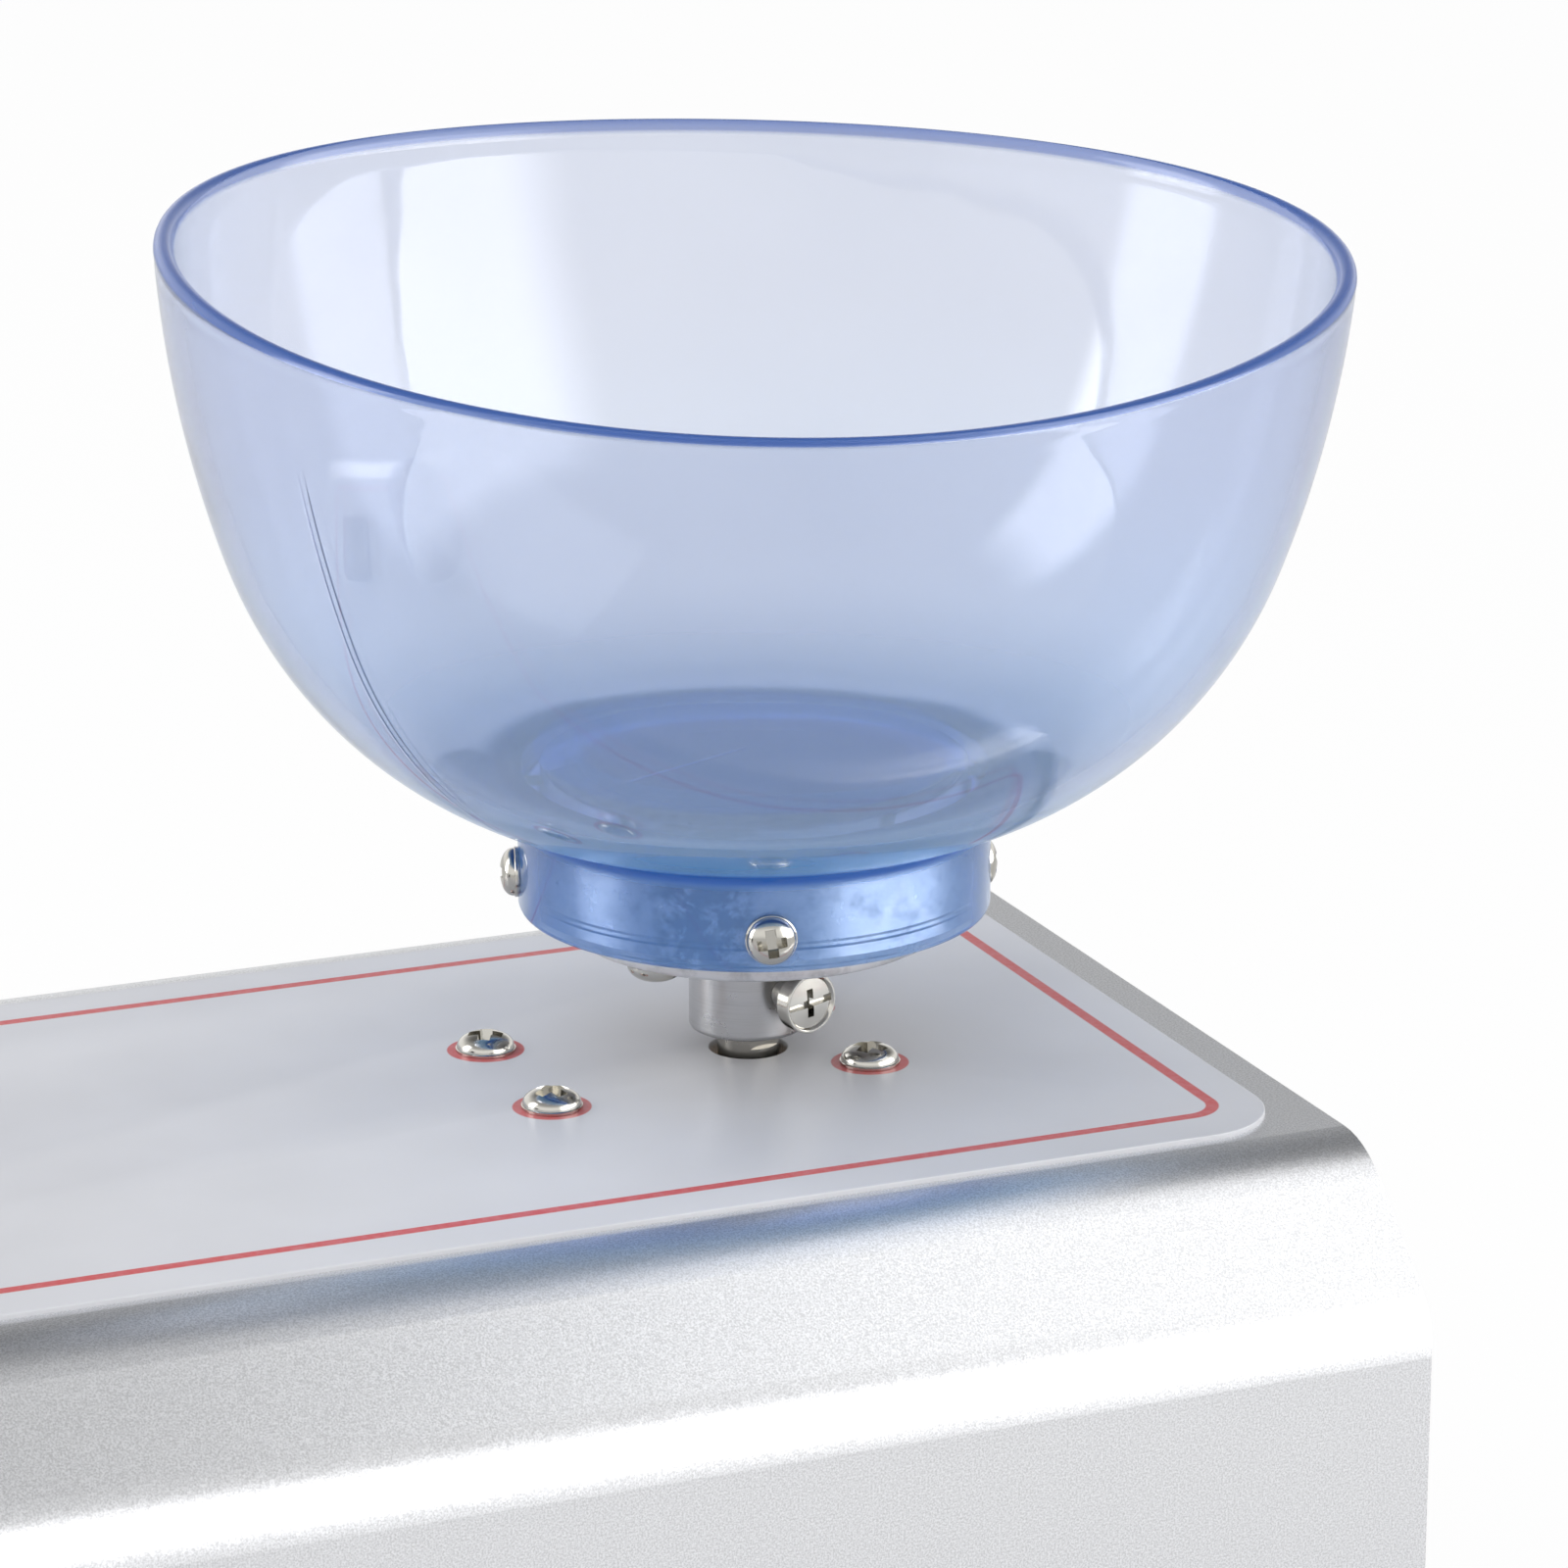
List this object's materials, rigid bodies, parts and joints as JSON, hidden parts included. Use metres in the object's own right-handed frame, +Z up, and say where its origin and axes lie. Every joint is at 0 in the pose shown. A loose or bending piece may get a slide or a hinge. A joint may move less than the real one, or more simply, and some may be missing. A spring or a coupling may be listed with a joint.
{
  "type": "dental impression mixer",
  "caption": "Bench mixer for impression material: a silver cabinet whose worm-geared motor turns a translucent blue bowl on a vertical spindle, with a speed knob and power switch.",
  "frame": {"origin": "middle of the machine's footprint, from the control end of the cabinet to the far edge of the bowl, on the surface that the feet stand on", "axes": "+X from the control end to the bowl end, +Z up, +Y to the left of someone who stands at the control end"},
  "size_m": [0.2123, 0.1244, 0.162],
  "materials": {
    "silver_paint": "silver metallic powder coat, fine orange peel",
    "tray_paint": "silver metallic powder coat",
    "printed_plate": "matt pale grey printed film with a plain red border",
    "nickel": "bright nickel plate",
    "zinc": "bright zinc plate",
    "rubber": "moulded black rubber",
    "shaft_steel": "ground steel",
    "turned_steel": "turned, fine rings",
    "aluminium": "turned aluminium",
    "blue_plastic": "translucent blue flexible plastic, smooth",
    "zinc_casting": "die-cast, as cast",
    "bronze": "sintered bronze",
    "gear_metal": "hobbed steel",
    "brass": "machined brass",
    "motor_steel": "drawn steel",
    "magnet": "ferrite",
    "copper": "enamelled copper",
    "carbon": "carbon brush",
    "black_plastic": "moulded black, fine texture",
    "white_plastic": "painted white",
    "switch_plastic": "moulded black, gloss",
    "board_laminate": "green solder mask",
    "capacitor_sleeve": "dark blue sleeve",
    "green_plastic": "moulded green",
    "wire_red": "PVC insulation",
    "wire_black": "PVC insulation",
    "wire_blue": "PVC insulation",
    "wire_yellow": "PVC insulation"
  },
  "bodies": {
    "cabinet": {"cover_shell": "silver_paint", "base_tray": "tray_paint", "cover_screws": "nickel", "rubber_feet": "rubber", "foot_screws": "zinc", "foot_nuts": "zinc", "deck_plate": "printed_plate", "deck_screws": "nickel", "gearbox_housing": "zinc_casting", "gearbox_lid": "zinc_casting", "gearbox_screws": "zinc", "upper_bush": "bronze", "lower_bush": "bronze", "motor_can": "motor_steel", "motor_face_screws": "zinc", "motor_end_cap": "black_plastic", "motor_terminals": "brass", "motor_magnets": "magnet", "motor_brushes": "carbon", "pot_body": "zinc", "pot_washer": "zinc", "pot_nut": "zinc", "switch_housing": "black_plastic", "switch_terminals": "brass", "inlet_jack": "black_plastic", "inlet_nut": "zinc", "inlet_contacts": "brass", "control_board": "board_laminate", "board_posts": "brass", "board_screws": "zinc", "heatsink": "aluminium", "power_transistor": "black_plastic", "filter_capacitor": "capacitor_sleeve", "terminal_block": "green_plastic", "motor_leads": "wire_red", "inlet_leads": "wire_black", "switch_leads": "wire_blue", "pot_leads": "wire_yellow"},
    "bowl_head": {"output_shaft": "shaft_steel", "hub": "turned_steel", "hub_clamp_screw": "nickel", "carrier_plate": "aluminium", "carrier_core": "aluminium", "carrier_screws": "nickel", "bowl": "blue_plastic", "bowl_screws": "nickel", "worm_wheel": "gear_metal", "wheel_pin": "shaft_steel"},
    "rotor": {"motor_shaft": "shaft_steel", "worm": "brass", "armature_core": "motor_steel", "armature_windings": "copper", "commutator": "copper"},
    "speed_control": {"speed_knob": "black_plastic", "knob_pointer": "white_plastic", "pot_shaft": "shaft_steel"},
    "rocker": {"power_rocker": "switch_plastic"}
  },
  "joints": [
    {"name": "bowl_spin", "type": "hinge", "parent": "cabinet", "child": "bowl_head", "pos_m": [0.05029, 0, 0.0805], "axis": [0, 0, 1], "continuous": true},
    {"name": "rotor_spin", "type": "hinge", "parent": "cabinet", "child": "rotor", "pos_m": [0.05029, 0.0105, 0.0652], "axis": [1, 0, 0], "continuous": true},
    {"name": "speed_turn", "type": "hinge", "parent": "cabinet", "child": "speed_control", "pos_m": [-0.06821, -0.02, 0.0805], "axis": [0, 0, -1], "range_deg": [0, 300]},
    {"name": "power_tilt", "type": "hinge", "parent": "cabinet", "child": "rocker", "pos_m": [-0.06821, 0.022, 0.0801], "axis": [0, -1, 0], "range_deg": [0, 18]}
  ],
  "couplings": [
    {"joint": "rotor_spin", "follows": "bowl_spin", "ratio": 18}
  ]
}
